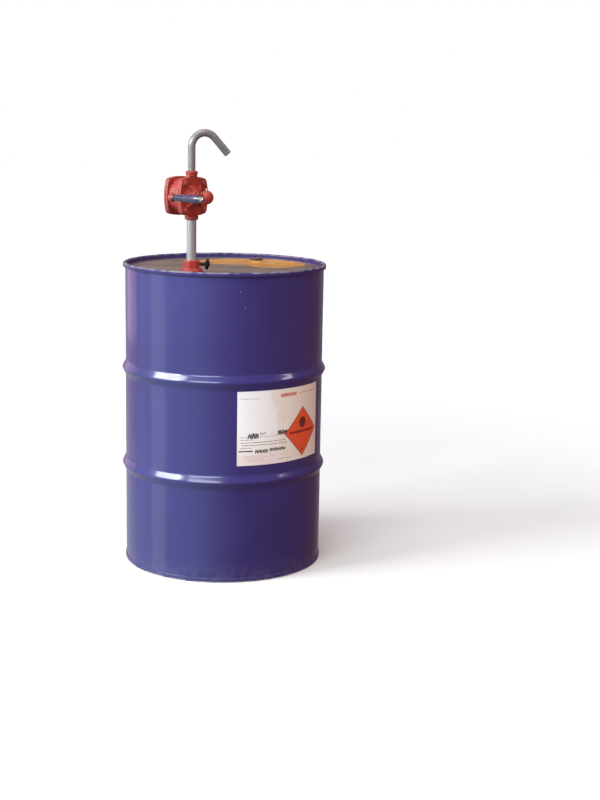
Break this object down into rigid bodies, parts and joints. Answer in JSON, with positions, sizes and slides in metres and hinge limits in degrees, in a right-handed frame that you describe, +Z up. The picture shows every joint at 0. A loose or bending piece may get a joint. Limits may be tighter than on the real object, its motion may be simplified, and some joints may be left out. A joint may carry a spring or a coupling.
{
  "type": "steel drum with hand pump",
  "caption": "Closed-head steel drum with rolling hoops, plugged vent and a rotary hand pump clamped in its large bung: suction tube, crank with turning grip and a hooked spout.",
  "frame": {"origin": "on the drum's axis, in the plane of the bottom chime that it stands on", "axes": "+Z up along the drum's axis; the pump stands in the large bung on the -Y side, slightly to -X"},
  "size_m": [0.593, 0.7126, 1.2542],
  "materials": {
    "drum_enamel": "glossy blue-violet enamel",
    "head_paint": "weathered grey-brown paint, violet at the rim",
    "zinc_plate": "zinc plated, stained",
    "rubber": "matt black",
    "label_paper": "coated white paper",
    "pump_red": "semi-gloss red enamel on castings",
    "spring_steel": "bright",
    "bronze": "machined",
    "black_oxide": "black oxide",
    "zinc_tube": "galvanised, satin",
    "cast_iron": "as cast and machined",
    "gasket_paper": "oiled gasket paper",
    "steel_screws": "zinc plated",
    "packing": "graphited packing",
    "vane_resin": "moulded resin",
    "steel_shaft": "ground steel",
    "grip_plastic": "glossy dark blue-grey plastic"
  },
  "bodies": {
    "drum": {"drum_shell": "drum_enamel", "top_head": "head_paint", "bottom_head": "drum_enamel", "bung_flange_large": "zinc_plate", "bung_gasket_large": "rubber", "bung_flange_small": "head_paint", "bung_gasket_small": "rubber", "product_label": "label_paper", "bung_adapter": "pump_red", "adapter_gasket": "rubber", "seal_retaining_ring": "spring_steel"},
    "tube_seal": {"pipe_seal_ring": "rubber"},
    "clamp_pad": {"clamp_pad": "bronze"},
    "clamp_screw": {"clamp_screw": "black_oxide", "clamp_tee_bar": "black_oxide"},
    "vent_gasket": {"vent_gasket": "rubber"},
    "vent_plug": {"vent_plug": "drum_enamel"},
    "pump": {"upper_suction_tube": "zinc_tube", "tube_coupling": "zinc_tube", "lower_suction_tube": "zinc_tube", "foot_valve_body": "cast_iron", "foot_valve_seat": "bronze", "pump_housing": "pump_red", "front_cover": "pump_red", "front_cover_gasket": "gasket_paper", "front_cover_screws": "pump_red", "front_bush": "bronze", "packing_rings": "packing", "gland_nut": "bronze", "back_cover": "pump_red", "back_cover_gasket": "gasket_paper", "back_cover_screws": "pump_red", "back_bush": "bronze", "spout_nut": "pump_red", "spout_seal_ring": "rubber"},
    "foot_valve": {"foot_valve_disc": "bronze"},
    "rotor": {"rotor": "cast_iron", "rotor_vanes": "vane_resin", "vane_springs": "spring_steel", "rotor_shaft": "steel_shaft", "rotor_key": "steel_shaft", "crank_arm": "pump_red", "crank_set_screw": "steel_screws", "grip_pin": "steel_shaft", "grip_inner_washer": "steel_screws", "grip_outer_washer": "steel_screws", "grip_nut": "steel_screws"},
    "grip": {"crank_grip": "grip_plastic"},
    "spout": {"spout": "zinc_tube"}
  },
  "joints": [
    {"name": "pump_swivel", "type": "hinge", "parent": "drum", "child": "tube_seal", "pos_m": [-0.08254, -0.18983, 0.87], "axis": [0, 0, 1], "continuous": true},
    {"name": "pump_lift", "type": "slide", "parent": "tube_seal", "child": "pump", "axis": [0, 0, 1], "range_m": [-0.02, 0.25]},
    {"name": "clamp_advance", "type": "slide", "parent": "drum", "child": "clamp_pad", "axis": [0.9781, 0.2079, 0], "range_m": [0, 0.0045]},
    {"name": "clamp_turn", "type": "hinge", "parent": "clamp_pad", "child": "clamp_screw", "pos_m": [-0.08254, -0.18983, 0.8865], "axis": [0.9781, 0.2079, 0], "range_deg": [0, 1080]},
    {"name": "vent_rise", "type": "slide", "parent": "drum", "child": "vent_gasket", "axis": [0, 0, 1], "range_m": [0, 0.00907]},
    {"name": "vent_turn", "type": "hinge", "parent": "vent_gasket", "child": "vent_plug", "pos_m": [0.08414, 0.1935, 0.865], "axis": [0, 0, 1], "range_deg": [0, 1800]},
    {"name": "foot_valve_lift", "type": "slide", "parent": "pump", "child": "foot_valve", "axis": [0, 0, 1], "range_m": [0, 0.005]},
    {"name": "crank_turn", "type": "hinge", "parent": "pump", "child": "rotor", "pos_m": [-0.0382, -0.23954, 1.073], "axis": [0.7604, -0.6494, 0], "continuous": true},
    {"name": "grip_spin", "type": "hinge", "parent": "rotor", "child": "grip", "pos_m": [-0.08153, -0.37342, 1.07663], "axis": [0.7604, -0.6494, 0], "continuous": true},
    {"name": "spout_aim", "type": "hinge", "parent": "pump", "child": "spout", "pos_m": [-0.08254, -0.18983, 1.14], "axis": [0, 0, 1], "range_deg": [0, 200]}
  ],
  "couplings": [
    {"joint": "clamp_advance", "follows": "clamp_turn", "m_per_rad": 0.00023873},
    {"joint": "vent_rise", "follows": "vent_turn", "m_per_rad": 0.00028871}
  ]
}
